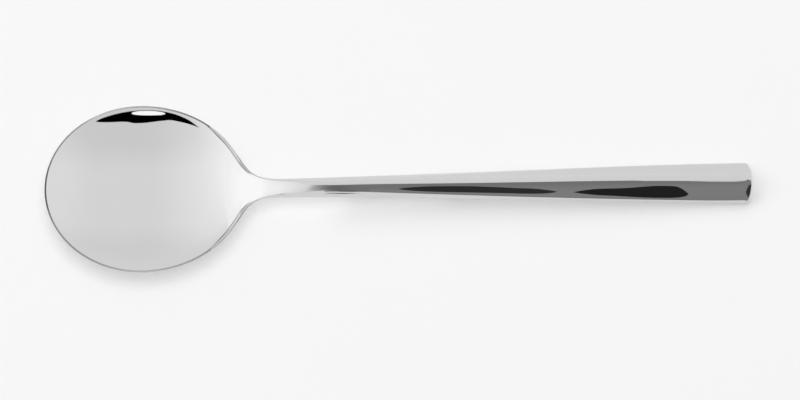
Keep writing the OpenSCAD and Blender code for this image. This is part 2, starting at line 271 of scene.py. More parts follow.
RIGHT_LENS_LOW = [(63.6, 28.6), (66.3, 26.9), (71.8, 24.8), (79.3, 23.1), (88.8, 21), (96.5, 19.9),
                  (102.5, 19.6), (106.5, 20.8), (107.9, 23)]
RIGHT_LENS_HIGH = [(63.6, 28.6), (68.3, 30.8), (73, 32.1), (83.5, 32.4), (91.5, 33.9), (96.5, 34.5),
                   (103, 33.4), (105.4, 30.6), (107.3, 25.6), (107.9, 23)]

# Card that stands at a slant beside the neck: a point of it as (x, y), and its change of y along x
NECK_FLAG_AT = (-21, -20)
NECK_FLAG_SLANT = -0.444
NECK_FLAG_LOW = [(-40, 10.5), (-30.5, 9.6), (-28, 9.3), (-25.5, 9.1), (-22.2, 8.75), (-22.1, 8.1),
                 (-17.9, 7.5), (-13, 7.1), (-10, 6.9)]
NECK_FLAG_HIGH = [(-10, 34.5), (-20, 44), (-25, 55), (-36, 51), (-44, 46)]
# Its levels follow x + tilt * z
NECK_FLAG_TILT = 0.22
NECK_FLAG_LEVELS = [(-32.3, 1.0), (-29.8, 0.86), (-28.3, 0.7), (-26.3, 0.52), (-23.3, 0.31), (-19.6, 0.18),
                    (-14.3, 0.19), (-10.3, 0.225), (-3.8, 0.235)]
# Thin streak under its lower edge, with levels along x
NECK_STREAK_HIGH = [(-26.6, 8.6), (-24.5, 8.6), (-22.2, 8.25), (-22.1, 7.64), (-19.3, 7.25), (-13, 6.5)]
NECK_STREAK_HEIGHT = 0.38
NECK_STREAK_LEVELS = [(-26.6, 0.93), (-25.4, 0.55), (-24, 0.42), (-22.1, 0.3), (-19.3, 0.23), (-17.9, 0.31),
                      (-15, 0.74), (-13, 0.93)]

# Folded card close over the ridge: an upright part, and a level lid as (x, y). Levels follow x + tilt * z
RIDGE_CARD_Y = -8
RIDGE_CARD = [(-38, 19), (-14, 17.5), (88, 16), (84, 24), (72, 29), (29, 30), (-38, 30)]
RIDGE_LID_Z = 30
RIDGE_LID = [(-38, -8), (72, -8), (29, -5.8), (8, 2), (-2, 8), (-13, 8), (-21.2, 1.5), (-26.2, 5),
             (-28.6, 8), (-30.7, 10.8), (-36, 13.5), (-38, 13.5)]
RIDGE_TILT = 0.23
RIDGE_LEVELS = [(-31, 1.0), (-29.5, 0.87), (-28, 0.64), (-26, 0.47), (-24, 0.36), (-21.5, 0.27), (-19, 0.22),
                (-14, 0.22), (-8, 0.24)]

# Cards close to the butt's front corner, with outlines as (place along the card, z)
BUTT_FLAG_TURN = math.radians(40)
BUTT_FLAG_AT = Vector((129.8, -10.4, 0))
BUTT_FLAG_LEVEL = 0.27
BUTT_FLAG = [(-8.8, 0.3), (8, 0.3), (8, 8), (-3, 18), (-8.8, 18)]
BUTT_SPOT_LEVEL = 0.045
BUTT_SPOT = [(-8, 9.4), (-6.6, 11.8), (-4.6, 12.7), (0.8, 9.3), (5.7, 4.5), (7.5, 0.5), (1.8, 0.5),
             (-0.1, 1.9), (-3.4, 4.8), (-7, 7.5), (-8, 9.4)]

# Light card over the neck, from start to end as (x, z), with its shares of light along x
NECK_GLOW_START = (-81, 19.7)
NECK_GLOW_END = (-28, 36)
NECK_GLOW_SHARES = [(-81, 0), (-78.6, 0.19), (-76.7, 0.48), (-71, 0.6), (-65.4, 0.82), (-57, 1)]
NECK_GLOW_FALL = (-53, -38)
NECK_GLOW_LEVEL = 1.4
NECK_GLOW_Y = 4
NECK_GLOW_EVEN = 8
NECK_GLOW_HALF = 24


# Plain helpers

def mix(a, b, t):
    return a + (b - a) * t


def ease(t):
    c = min(1.0, max(0.0, t))
    return c * c * (3 - 2 * c)


def bezier(a, b, c, d, t):
    return a * (1 - t) ** 3 + b * 3 * t * (1 - t) ** 2 + c * 3 * t * t * (1 - t) + d * t ** 3


def bezier_slope(a, b, c, d, t):
    return 3 * ((b - a) * (1 - t) ** 2 + (c - b) * 2 * t * (1 - t) + (d - c) * t * t)


def unit(vector):
    return vector / np.linalg.norm(vector)


def soft_max(a, b, k):
    return (a + b + math.sqrt((a - b) ** 2 + k * k)) / 2


def soft_min(a, b, k):
    return (a + b - math.sqrt((a - b) ** 2 + k * k)) / 2


def line(start, end, steps):
    """Points after start up to end."""
    return [mix(start, end, i / steps) for i in range(1, steps + 1)]


def corner(start, peak, end, steps=CORNER_STEPS):
    """Points of a rounded corner after start up to end."""
    shares = [i / steps for i in range(1, steps + 1)]
    return [mix(mix(start, peak, t), mix(peak, end, t), t) for t in shares]


def toward(a, b, distance):
    return a + (b - a) * (distance / np.linalg.norm(b - a))


# Plan of the spoon

def oval_half(x):
    """Half length of the oval on the side of its widest place where x lies."""
    return BOWL_FRONT if x < BOWL_X else BOWL_BACK


def oval(angle, inset=0.0):
    """Point of the oval, which is blunter toward the tip. The angle runs from the tip."""
    along = BOWL_FRONT if angle < math.pi / 2 else BOWL_BACK
    return np.array([BOWL_X - (along - inset) * math.cos(angle), (BOWL_HALF - inset) * math.sin(angle)])


def oval_tangent(angle):
    """Direction of the oval between its widest place and the neck."""
    return unit(np.array([BOWL_BACK * math.sin(angle), BOWL_HALF * math.cos(angle)]))


def oval_reach(p, inset=0.0):
    """Place within the oval: 0 is its middle and 1 its edge."""
    return math.hypot((p[0] - BOWL_X) / (oval_half(p[0]) - inset), p[1] / (BOWL_HALF - inset))


FILLET_START = oval(FILLET_ANGLE)
FILLET_LEAD = FILLET_START + oval_tangent(FILLET_ANGLE) * FILLET_PULL_OVAL
FILLET_END = np.array([NECK_X, NECK_HALF])
FILLET_TAIL = FILLET_END - np.array([FILLET_PULL_NECK, 0])


def fillet(t):
    return bezier(FILLET_START, FILLET_LEAD, FILLET_TAIL, FILLET_END, t)


def fillet_tangent(t):
    return unit(bezier_slope(FILLET_START, FILLET_LEAD, FILLET_TAIL, FILLET_END, t))


def taper_x(t):
    return bezier(NECK_X, NECK_X + TAPER_PULL_NECK, BUTT_X - TAPER_PULL_BUTT, BUTT_X, t)


def half_width(x):
    low, high = 0.0, 1.0
    for _ in range(SOLVE_STEPS):
        middle = (low + high) / 2
        if taper_x(middle) < x:
            low = middle
        else:
            high = middle
    return bezier(NECK_HALF, NECK_HALF, BUTT_HALF, BUTT_HALF, (low + high) / 2)


def base_z(x):
    """The base falls evenly from the neck, and bends down to the heel."""
    share = soft_min(soft_max((x - NECK_X) / (HEEL_X - NECK_X), 0, FALL_START_SOFT), 1, FALL_END_SOFT)
    return mix(NECK_CLEARANCE, -HEEL_GRIND, mix(share, share ** BEND_POWER, BEND_SHARE))


# Section of the handle, as half a contour from the ridge round to the middle of the base

def side_lean(x, half):
    return min(LEAN_LIMIT * half, mix(LEAN_LEAST, LEAN_JOINT, ((x - SLIM_X) / (JOINT_X - SLIM_X)) ** 2))


def roof_drop(y):
    return math.hypot(RIDGE_SLOPE * y, RIDGE_ROUND) - RIDGE_ROUND + FACE_CROWN * y * y


def half_section(x, half, inset=0.0, spread=ROOF_SPREAD):
    lean = side_lean(x, half)
    eave_y = half - lean
    seam_z = base_z(x) + LOWER_HEIGHT
    ridge_z = seam_z + SIDE_LEAST + SIDE_PER_LEAN * lean + roof_drop(eave_y) - inset * ROOF_INSET
    eave_y -= inset * EAVE_INSET

    def roof(y):
        return np.array([y, ridge_z - roof_drop(y)])

    eave = roof(eave_y)
    seam = np.array([half - inset, seam_z])
    base = np.array([half - BASE_INSET - inset, base_z(x) + inset])
    roof_end = roof(eave_y - min(EAVE_ROUND, eave_y / 2))
    side_start = toward(eave, seam, EAVE_ROUND)
    side_end = toward(seam, eave, SEAM_ROUND)
    low_side_start = toward(seam, base, SEAM_ROUND)
    low_round = min(BASE_ROUND, np.linalg.norm(seam - base) / 2, base[0] / 2)
    low_side_end = toward(base, seam, low_round)
    base_start = base - np.array([low_round, 0])
    middle = np.array([0, base[1]])
    return np.array(
        [roof(roof_end[0] * share ** spread) for share in ROOF_SHARES]
        + corner(roof_end, eave, side_start, EAVE_STEPS)
        + line(side_start, side_end, SIDE_STEPS)
        + corner(side_end, seam, low_side_start)
        + line(low_side_start, low_side_end, SIDE_STEPS)
        + corner(low_side_end, base, base_start)
        + line(base_start, middle, BASE_STEPS)
    )


def placed(x, points):
    """A section as points in space. Near the butt it is bent along X, because the butt bows out."""
    bow = BUTT_BOW * (points[:, 0] / BUTT_HALF) ** 2 * ease((x - BOW_X) / (BUTT_X - BOW_X))
    return np.column_stack([x - bow, points[:, 0], points[:, 1]])


def mirrored(points):
    return points * np.array([1, -1, 1])


def handle_half(x, inset=0.0):
    return placed(x, half_section(x, half_width(x), inset))


def whole(half):
    """Closed section from half a section that starts and ends on the middle plane."""
    return np.vstack([half, mirrored(half[1:-1])[::-1]])


# Section of the bowl, along ribs that fan out round the tip and stand square from the widest place on

def neck_share(x):
    """Share of the way from the middle of the bowl to the neck."""
    return min(1.0, max(0.0, (x - BOWL_X) / BOWL_BACK))


def cavity_z(p, inner_y):
    """The cavity rolls over into the neck near the middle plane, and meets the rim sharply elsewhere."""
    share = neck_share(p[0])
    roll = NECK_ROLL * share ** 2 * (1 - (p[1] / inner_y) ** 2) if share else 0.0
    return RIM_Z - soft_max(BOWL_DEPTH * (1 - oval_reach(p, RIM_LAND) ** BOWL_POWER), 0, roll)


def keel_z(x):
    share = (x - BOWL_X) / BOWL_BACK
    return soft_min((RIM_Z - RIM_EDGE) * share ** BOWL_POWER, base_z(x), NECK_ROLL * neck_share(x) ** 2)


def underside_z(p, outer_y, edge_z):
    if p[0] <= BOWL_X:
        return edge_z * oval_reach(p) ** BOWL_POWER
    return mix(keel_z(p[0]), edge_z, (p[1] / outer_y) ** BOWL_POWER)


# A rib is [outer rim point, inner rim point, X on the middle plane, stretch of the rim along the rib]

def rim_width(x):
    return mix(RIM_LAND, RIM_LAND_NECK, ease(SWELL_FLAT * (1 - abs(x - SWELL_X) / SWELL_REACH)))


def square_rib(outer, tangent):
    stretch = 1 / tangent[0]
    return outer, outer - np.array([0, rim_width(outer[0]) * stretch]), outer[0], stretch


def oval_rib(angle):
    outer = oval(angle)
    if angle > math.pi / 2:
        return square_rib(outer, oval_tangent(angle))
    return outer, oval(angle, RIM_LAND), BOWL_X - TIP_FAN * BOWL_FRONT * math.cos(angle), 1.0


def fillet_rib(t):
    return square_rib(fillet(t), fillet_tangent(t))


def neck_rib(x):
    return square_rib(np.array([x, half_width(x)]), np.array([1, 0]))


def ribs():
    return (
        [oval_rib(FILLET_ANGLE * i / OVAL_STEPS) for i in range(OVAL_STEPS + 1)]
        + [fillet_rib(i / FILLET_STEPS) for i in range(1, FILLET_STEPS + 1)]
        + [neck_rib(mix(NECK_X, JOINT_X, i / NECK_STEPS)) for i in range(1, NECK_STEPS + 1)]
    )


def bowl_half(rib, spread):
    outer, inner, middle_x, stretch = rib
    middle = np.array([middle_x, 0])
    land_z = cavity_z(inner, inner[1])
    edge_z = land_z - RIM_EDGE

    def wall(p):
        return np.array([p[0], p[1], cavity_z(p, inner[1])])

    def under(p):
        return np.array([p[0], p[1], underside_z(p, outer[1], edge_z)])

    def lifted(p, z):
        return np.array([p[0], p[1], z])

    wall_end = toward(inner, middle, RIM_IN_ROUND * stretch)
    land_start = lifted(toward(inner, outer, RIM_IN_ROUND * stretch), land_z)
    land_end = lifted(toward(outer, inner, RIM_OUT_ROUND * stretch), land_z)
    edge_start = lifted(outer, land_z - RIM_OUT_ROUND)
    edge_end = lifted(outer, edge_z + RIM_LOW_ROUND)
    under_start = toward(outer, middle, RIM_LOW_ROUND * stretch)
    return np.array(
        [wall(mix(middle, wall_end, share ** spread)) for share in ROOF_SHARES]
        + corner(wall(wall_end), lifted(inner, land_z), land_start)
        + line(land_start, land_end, LAND_STEPS)
        + corner(land_end, lifted(outer, land_z), edge_start)
        + line(edge_start, edge_end, SIDE_STEPS)
        + corner(edge_end, lifted(outer, edge_z), under(under_start))
        + [under(p) for p in line(under_start, middle, SIDE_STEPS + CORNER_STEPS + BASE_STEPS)]
    )


def dip(x):
    """Depth of the neck's dip, which takes the whole section down."""
    run_in = ease((x - DIP_START_X) / (DIP_FULL_X - DIP_START_X))
    return NECK_DIP * run_in * (1 - ease((x - DIP_LEAVE_X) / (JOINT_X - DIP_LEAVE_X)))


def rib_half(rib):
    """The neck turns the bowl's section into the handle's between the end of the oval and the joint."""
    x = rib[2]
    share = ease((x - OVAL_END_X) / (JOINT_X - OVAL_END_X))
    spread = mix(1, ROOF_SPREAD, share)
    points = bowl_half(rib, spread)
    if share > 0:
        points = mix(points, placed(x, half_section(x, rib[0][1], spread=spread)), share)
    return points - np.array([0, 0, dip(x)])


def tang_half(x):
    root, here = handle_half(ROOT_X, ROOT_INSET), handle_half(x, ROOT_INSET)
    size = mix(1, TANG_TAPER, mix(TANG_START, 1, (x - ROOT_X) / (TANG_X - ROOT_X)))
    root_z, here_z = (half[[0, -1], 2].mean() for half in (root, here))
    return np.column_stack([
        np.full(len(root), x), root[:, 1] * size, here_z + (root[:, 2] - root_z) * size])


# Meshes

def grid_faces(rows, size, closed):
    """Faces between neighbouring rows of equal length, numbered row by row."""
    last = size if closed else size - 1
    return [
        (i * size + k, i * size + (k + 1) % size, (i + 1) * size + (k + 1) % size, (i + 1) * size + k)
        for i in range(rows - 1) for k in range(last)
    ]


def make_piece(name, points, faces, node, materials, slots=None):
    """A smooth piece that stands for one CAD node. Slots give the material of the first faces."""
    mesh = bpy.data.meshes.new(name)
    mesh.from_pydata([tuple(p) for p in points], [], faces)
    for material in materials:
        mesh.materials.append(material)
    for face, slot in zip(mesh.polygons, slots or []):
        face.material_index = slot
    bm = bmesh.new()
    bm.from_mesh(mesh)
    bmesh.ops.remove_doubles(bm, verts=bm.verts, dist=MERGE_DISTANCE)
    bmesh.ops.recalc_face_normals(bm, faces=bm.faces)
    bm.to_mesh(mesh)
    bm.free()
    mesh.shade_smooth()
    mesh.set_sharp_from_angle(angle=SHARP_ANGLE)
    piece = bpy.data.objects.new(name, mesh)
    bpy.context.scene.collection.objects.link(piece)
    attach(piece, "root")
    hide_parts(node)
    return piece


def rim_slot(x, step):
    """Material across a rib: the rim is ground, and the wide land by the neck is satin between its edges,
    both with painted reflection tones.
    """
    inner = range(ROOF_STEPS, ROOF_STEPS + CORNER_STEPS + 1)
    outer = range(EDGE_AT, EDGE_AT + CORNER_STEPS + SIDE_STEPS)
    if not inner.start <= step < outer.stop:
        return STEEL_SLOT
    ground_inside = step in inner and x < INNER_GROUND_END
    ground_outside = step in outer and x > OUTER_GROUND_START
    return GROUND_PAINTED_SLOT if x <= LAND_START or ground_inside or ground_outside else LAND_PAINTED_SLOT


def make_bowl(materials):
    """Ribs run from the joint on one side, round the tip, to the joint on the other. The tang closes it."""
    bowl_ribs = ribs()
    halves = [rib_half(rib) for rib in bowl_ribs]
    rows = [mirrored(half) for half in reversed(halves)] + halves[1:]
    faces = grid_faces(len(rows), len(rows[0]), closed=False)
    outer_x = [outer[0] for outer, _, _, _ in bowl_ribs]
    row_x = outer_x[:0:-1] + outer_x
    slots = [rim_slot(x, step) for x in row_x[:-1] for step in range(len(rows[0]) - 1)]
    rings = [whole(halves[-1])]
    rings += [whole(handle_half(x, ROOT_INSET)) for x in (JOINT_X, ROOT_X)]
    rings += [whole(tang_half(mix(ROOT_X, TANG_X, i / TANG_STEPS))) for i in range(TANG_STEPS + 1)]
    ring_start = sum(len(row) for row in rows)
    ring_size = len(rings[0])
    ring_faces = grid_faces(len(rings), ring_size, closed=True)
    faces += [tuple(ring_start + i for i in face) for face in ring_faces]
    last = ring_start + (len(rings) - 1) * ring_size
    faces.append(tuple(range(last, last + ring_size)))
    return make_piece("polished_bowl", np.vstack(rows + rings), faces, "bowl", materials, slots)


def top_contour(x, inset):
    half = handle_half(x, inset)[:SEAM_AT + 1]
    return np.vstack([half[::-1], mirrored(half[1:])])


def bottom_contour(x, inset):
    half = handle_half(x, inset)[SEAM_AT:]
    half[:, 2] = np.maximum(half[:, 2], 0)
    return np.vstack([half, mirrored(half[:-1])[::-1]])


def shell_loops(contour):
    """Loops along the outside and back along the inside, then across the butt's end wall."""
    hollow = [JOINT_X] + [mix(ROOT_X, HOLLOW_END_X, i / HANDLE_STEPS) for i in range(HANDLE_STEPS + 1)]
    loops = [np.vstack([contour(x, 0), contour(x, SHELL_WALL)[::-1]]) for x in hollow]
    wall = [(HOLLOW_END_X + DRAFT, 0.0)]
    for i in range(ROUND_STEPS + 1):
        angle = math.pi / 2 * i / ROUND_STEPS
        wall.append((BUTT_X - BUTT_ROUND * (1 - math.sin(angle)), BUTT_ROUND * (1 - math.cos(angle))))
    for x, inset in wall:
        outside, inside = contour(x, inset), contour(x, inset + SHELL_WALL)
        inside[:, 2] = outside[0, 2]
        loops.append(np.vstack([outside, inside[::-1]]))
    return loops


def strip_faces(start, size):
    """Faces that close the end of a loop, between its outgoing and returning points."""
    return [
        (start + k, start + k + 1, start + size - 2 - k, start + size - 1 - k) for k in range(size // 2 - 1)
    ]


def make_shell(name, contour, node, materials):
    loops = shell_loops(contour)
    size = len(loops[0])
    faces = grid_faces(len(loops), size, closed=True)
    faces += strip_faces(0, size) + strip_faces((len(loops) - 1) * size, size)
    return make_piece(name, np.vstack(loops), faces, node, materials)


# Materials

def new_material(name):
    material = bpy.data.materials.new(name)
    material.use_nodes = True
    nodes, links = material.node_tree.nodes, material.node_tree.links
    return material, nodes, links, nodes["Principled BSDF"]


def noise(nodes, links, kind, stretch=(1, 1, 1)):
    """Noise in the object's own space, stretched along the axes. The kind is (scale, detail)."""
    scale, detail = kind
    coordinates = nodes.new("ShaderNodeTexCoord")
    mapping = nodes.new("ShaderNodeMapping")
    mapping.inputs["Scale"].default_value = stretch
    texture = nodes.new("ShaderNodeTexNoise")
    texture.inputs["Scale"].default_value = scale
    texture.inputs["Detail"].default_value = detail
    links.new(coordinates.outputs["Object"], mapping.inputs["Vector"])
    links.new(mapping.outputs["Vector"], texture.inputs["Vector"])
    return texture.outputs["Fac"]


def value_range(nodes, links, source, low, high):
    """Value from low to high as the source goes from 0 to 1."""
    mapped = nodes.new("ShaderNodeMapRange")
    mapped.inputs["To Min"].default_value = low
    mapped.inputs["To Max"].default_value = high
    links.new(source, mapped.inputs["Value"])
    return mapped.outputs["Result"]


def smooth_range(nodes, links, source, start, end, low, high):
    """Value that eases from low to high as the source goes from start to end."""
    mapped = nodes.new("ShaderNodeMapRange")
    mapped.interpolation_type = "SMOOTHSTEP"
    for name, value in (("From Min", start), ("From Max", end), ("To Min", low), ("To Max", high)):
        mapped.inputs[name].default_value = value
    links.new(source, mapped.inputs["Value"])
    return mapped.outputs["Result"]


def math_node(nodes, links, operation, *values):
    """Result of a calculation with sockets and plain numbers."""
    made = nodes.new("ShaderNodeMath")
    made.operation = operation
    for socket, value in zip(made.inputs, values):
        if isinstance(value, (int, float)):
            socket.default_value = value
        else:
            links.new(value, socket)
    return made.outputs["Value"]


def colour_range(nodes, links, source, low, high):
    """Colour from low to high as the source goes from 0 to 1."""
    ramp = nodes.new("ShaderNodeValToRGB")
    ramp.color_ramp.elements[0].color = (*low, 1)
    ramp.color_ramp.elements[1].color = (*high, 1)
    links.new(source, ramp.inputs["Fac"])
    return ramp.outputs["Color"]


def bump(nodes, links, source, distance):
    made = nodes.new("ShaderNodeBump")
    made.inputs["Distance"].default_value = distance
    links.new(source, made.inputs["Height"])
    return made.outputs["Normal"]


def grey_range(nodes, links, source, tone, variation):
    """Grey that varies round a tone as the source goes from 0 to 1."""
    return colour_range(nodes, links, source, (tone - variation,) * 3, (tone + variation,) * 3)


def polished_steel():
    """Mirror-polished steel with faint buffing lines along the spoon."""
    material, nodes, links, shader = new_material("polished_steel")
    shader.inputs["Metallic"].default_value = 1
    tone = noise(nodes, links, STEEL_NOISE)
    buffing = noise(nodes, links, BUFFING_NOISE, BUFFING_STRETCH)
    links.new(grey_range(nodes, links, tone, STEEL, STEEL_VARIATION), shader.inputs["Base Color"])
    links.new(value_range(nodes, links, buffing, *BUFFING_ROUGH), shader.inputs["Roughness"])
    links.new(bump(nodes, links, buffing, BUFFING_HEIGHT), shader.inputs["Normal"])
    return material


def place(nodes, links, axis):
    """Place along one axis of the object's own space."""
    coordinates = nodes.new("ShaderNodeTexCoord")
    parts = nodes.new("ShaderNodeSeparateXYZ")
    links.new(coordinates.outputs["Object"], parts.inputs["Vector"])
    return parts.outputs[axis]


def levels_by(nodes, links, source, levels):
    """Grey that follows a source, which is a length, through stops of (millimetres, level)."""
    first, last = levels[0][0], levels[-1][0]
    share = nodes.new("ShaderNodeMapRange")
    share.inputs["From Min"].default_value = first * MM
    share.inputs["From Max"].default_value = last * MM
    ramp = nodes.new("ShaderNodeValToRGB")
    stops = ramp.color_ramp.elements
    while len(stops) < len(levels):
        stops.new(1.0)
    for stop, (value, level) in zip(stops, levels):
        stop.position = (value - first) / (last - first)
        stop.color = (level, level, level, 1)
    links.new(source, share.inputs["Value"])
    links.new(share.outputs["Result"], ramp.inputs["Fac"])
    return ramp.outputs["Color"]


def ground_rim_painted_reflection():
    """The rim is ground, so it is less shiny than the bowl, up to the polished neck. Its darker tones, which
    change along the spoon and between front and back, are painted reflection.
    """
    material, nodes, links, shader = new_material("ground_rim_painted_reflection")
    shader.inputs["Metallic"].default_value = 1
    grain = noise(nodes, links, RIM_NOISE)
    length, side = place(nodes, links, "X"), place(nodes, links, "Y")
    shifted = math_node(nodes, links, "MULTIPLY_ADD", grain, RIM_GRAIN, length)
    back_share = smooth_range(nodes, links, side, -RIM_SIDES, RIM_SIDES, 0, 1)
    # Painted reflection: the rim's tone by place along the spoon, different at the front and at the back
    tone = nodes.new("ShaderNodeMix")
    links.new(back_share, tone.inputs["Factor"])
    links.new(levels_by(nodes, links, shifted, FRONT_PAINTED_REFLECTION), tone.inputs["A"])
    links.new(levels_by(nodes, links, shifted, BACK_PAINTED_REFLECTION), tone.inputs["B"])
    links.new(tone.outputs["Result"], shader.inputs["Base Color"])
    rough = smooth_range(nodes, links, length, GROUND_END, POLISH_START, GROUND_ROUGH, POLISH_ROUGH)
    links.new(rough, shader.inputs["Roughness"])
    links.new(bump(nodes, links, grain, RIM_GRAIN_HEIGHT), shader.inputs["Normal"])
    return material


def satin_land_painted_reflection():
    """The land of the rim beside the neck is finely brushed. Its tone, which lightens toward the neck, is
    painted reflection.
    """
    material, nodes, links, shader = new_material("satin_land_painted_reflection")
    shader.inputs["Metallic"].default_value = 1
    grain = noise(nodes, links, RIM_NOISE)
    shifted = math_node(nodes, links, "MULTIPLY_ADD", grain, RIM_GRAIN, place(nodes, links, "X"))
    # Painted reflection: the land's tone by place along the spoon
    links.new(levels_by(nodes, links, shifted, LAND_PAINTED_REFLECTION), shader.inputs["Base Color"])
    shader.inputs["Roughness"].default_value = GROUND_ROUGH
    links.new(bump(nodes, links, grain, RIM_GRAIN_HEIGHT), shader.inputs["Normal"])
    return material


def grainy(name, kind, dark, pale, rough, height):
    """A material with one grain in its colour, its shine and its surface."""
    material, nodes, links, shader = new_material(name)
    grain = noise(nodes, links, kind)
    links.new(colour_range(nodes, links, grain, dark, pale), shader.inputs["Base Color"])
    links.new(value_range(nodes, links, grain, *rough), shader.inputs["Roughness"])
    links.new(bump(nodes, links, grain, height), shader.inputs["Normal"])
    return material, shader


def solder():
    material, shader = grainy("solder", SOLDER_NOISE, SOLDER_DARK, SOLDER_PALE, SOLDER_ROUGH, SOLDER_HEIGHT)
    shader.inputs["Metallic"].default_value = 1
    return material


def resin():
    material, _ = grainy("resin", RESIN_NOISE, RESIN_DARK, RESIN_PALE, RESIN_ROUGH, RESIN_HEIGHT)
    return material


# Stage

def floor_material():
    material, nodes, links, shader = new_material("floor")
    grain = noise(nodes, links, FLOOR_NOISE)
    links.new(grey_range(nodes, links, grain, FLOOR_TONE, FLOOR_VARIATION), shader.inputs["Base Color"])
    shader.inputs["Roughness"].default_value = 1
    shader.inputs["Specular IOR Level"].default_value = 0
    return material


def make_floor():
    mesh = bpy.data.meshes.new("floor")
    corners = [(x * FLOOR_REACH, y * FLOOR_REACH, 0) for x, y in ((-1, -1), (1, -1), (1, 1), (-1, 1))]
    mesh.from_pydata(corners, [], [(0, 1, 2, 3)])
    mesh.materials.append(floor_material())
    floor = bpy.data.objects.new("floor", mesh)
    bpy.context.scene.collection.objects.link(floor)
    return floor


def glow(name):
    """Material that only gives light, with its parts."""
    material = bpy.data.materials.new(name)
    material.use_nodes = True
    nodes, links = material.node_tree.nodes, material.node_tree.links
    nodes.remove(nodes["Principled BSDF"])
    emission = nodes.new("ShaderNodeEmission")
    links.new(emission.outputs["Emission"], nodes["Material Output"].inputs["Surface"])
    return material, nodes, links, emission


def even_glow(name, level):
    material, _, _, emission = glow(name)
    emission.inputs["Color"].default_value = (level, level, level, 1)
    return material


def graded_glow(name, levels, x_share, z_share):
    """Light that changes over a card. Levels are (x * x_share + z * z_share in millimetres, level)."""
    material, nodes, links, emission = glow(name)
    length = math_node(nodes, links, "MULTIPLY", place(nodes, links, "X"), x_share)
    along = math_node(nodes, links, "MULTIPLY_ADD", place(nodes, links, "Z"), z_share, length)
    links.new(levels_by(nodes, links, along, levels), emission.inputs["Color"])
    return material


def neck_glow():
    """Light over the neck that fades out to both sides and toward the bowl, and falls toward the handle."""
    material, nodes, links, emission = glow("neck_glow")
    length, side = place(nodes, links, "X"), place(nodes, links, "Y")
    fall_start, fall_end = (x * MM for x in NECK_GLOW_FALL)
    level = smooth_range(nodes, links, length, fall_start, fall_end, NECK_GLOW_LEVEL, 1)
    links.new(level, emission.inputs["Strength"])
    offset = math_node(nodes, links, "SUBTRACT", side, NECK_GLOW_Y * MM)
    distance = math_node(nodes, links, "ABSOLUTE", offset)
    across = smooth_range(nodes, links, distance, NECK_GLOW_EVEN * MM, NECK_GLOW_HALF * MM, 1, 0)
    along = levels_by(nodes, links, length, NECK_GLOW_SHARES)
    clear = nodes.new("ShaderNodeBsdfTransparent")
    blend = nodes.new("ShaderNodeMixShader")
    links.new(math_node(nodes, links, "MULTIPLY", across, along), blend.inputs["Fac"])
    links.new(clear.outputs["BSDF"], blend.inputs[1])
    links.new(emission.outputs["Emission"], blend.inputs[2])
    links.new(blend.outputs["Shader"], nodes["Material Output"].inputs["Surface"])
    return material


def make_card(material, outline):
    """A studio card that only the polished metal sees."""
    mesh = bpy.data.meshes.new(material.name)
    mesh.from_pydata([tuple(p) for p in outline], [], [tuple(range(len(outline)))])
    mesh.materials.append(material)
    card = bpy.data.objects.new(material.name, mesh)
    bpy.context.scene.collection.objects.link(card)
    card.visible_camera = False
    card.visible_diffuse = False
    card.visible_shadow = False


def smooth_line(points):
    """Curve through the points, up to but without the last one."""
    points = [np.array(p, float) for p in points]
    run = [2 * points[0] - points[1]] + points + [2 * points[-1] - points[-2]]
    curve = []
    for a, b, c, d in zip(run, run[1:], run[2:], run[3:]):
        for t in (k / CARD_STEPS for k in range(CARD_STEPS)):
            curve.append(b + ((c - a) * t + (2 * a - 5 * b + 4 * c - d) * t ** 2
                              + (3 * b - a - 3 * c + d) * t ** 3) / 2)
    return curve


def upright(y, outline):
    """Outline of an upright card across the front, from (x, z)."""
    return [Vector((x, y, z)) * MM for x, z in outline]


def slanted(outline):
    """Outline of the upright card beside the neck, which stands at a slant, from (x, z)."""
    at_x, at_y = NECK_FLAG_AT
    return [Vector((x, at_y + NECK_FLAG_SLANT * (x - at_x), z)) * MM for x, z in outline]


def at_butt(outline, gap=0):
    """Outline of an upright card across the butt's front corner. A gap brings it nearer to the spoon."""
    along = Vector((math.cos(BUTT_FLAG_TURN), math.sin(BUTT_FLAG_TURN), 0))
    origin = BUTT_FLAG_AT + Vector((-along.y, along.x, 0)) * gap
    return [(origin + along * distance + Vector((0, 0, z))) * MM for distance, z in outline]


def lens_outline(lower, upper):
    """Closed outline with pointed ends, from its lower edge and its upper edge."""
    return smooth_line(lower) + smooth_line(list(reversed(upper)))


def oval_outline(centre, half):
    turns = [2 * math.pi * i / WINDOW_STEPS for i in range(WINDOW_STEPS)]
    return [(centre[0] + half[0] * math.cos(t), centre[1] + half[1] * math.sin(t)) for t in turns]


def make_bowl_cards():
    """A black card with a bright window in it, which the bowl shows at its back."""
    flag = lens_outline(BOWL_FLAG_LOW, BOWL_FLAG_HIGH)
    window = oval_outline(WINDOW_CENTRE, WINDOW_HALF)
    make_card(even_glow("bowl_flag", 0.0), upright(BOWL_CARD_Y, flag))
    make_card(even_glow("bowl_window", WINDOW_LEVEL), upright(BOWL_CARD_Y + CARD_GAP, window))


def make_handle_cards():
    """A grey card along the handle, with two black lenses."""
    flag = smooth_line(HANDLE_FLAG_TOP) + [HANDLE_FLAG_TOP[-1]] + HANDLE_FLAG_LOW
    make_card(graded_glow("handle_flag", HANDLE_LEVELS, 0.0, 1.0), upright(HANDLE_CARD_Y, flag))
    for name, level, low, high in (("left_lens", LEFT_LENS_LEVEL, LEFT_LENS_LOW, LEFT_LENS_HIGH),
                                   ("right_lens", RIGHT_LENS_LEVEL, RIGHT_LENS_LOW, RIGHT_LENS_HIGH)):
        make_card(even_glow(name, level), upright(HANDLE_CARD_Y + CARD_GAP, lens_outline(low, high)))


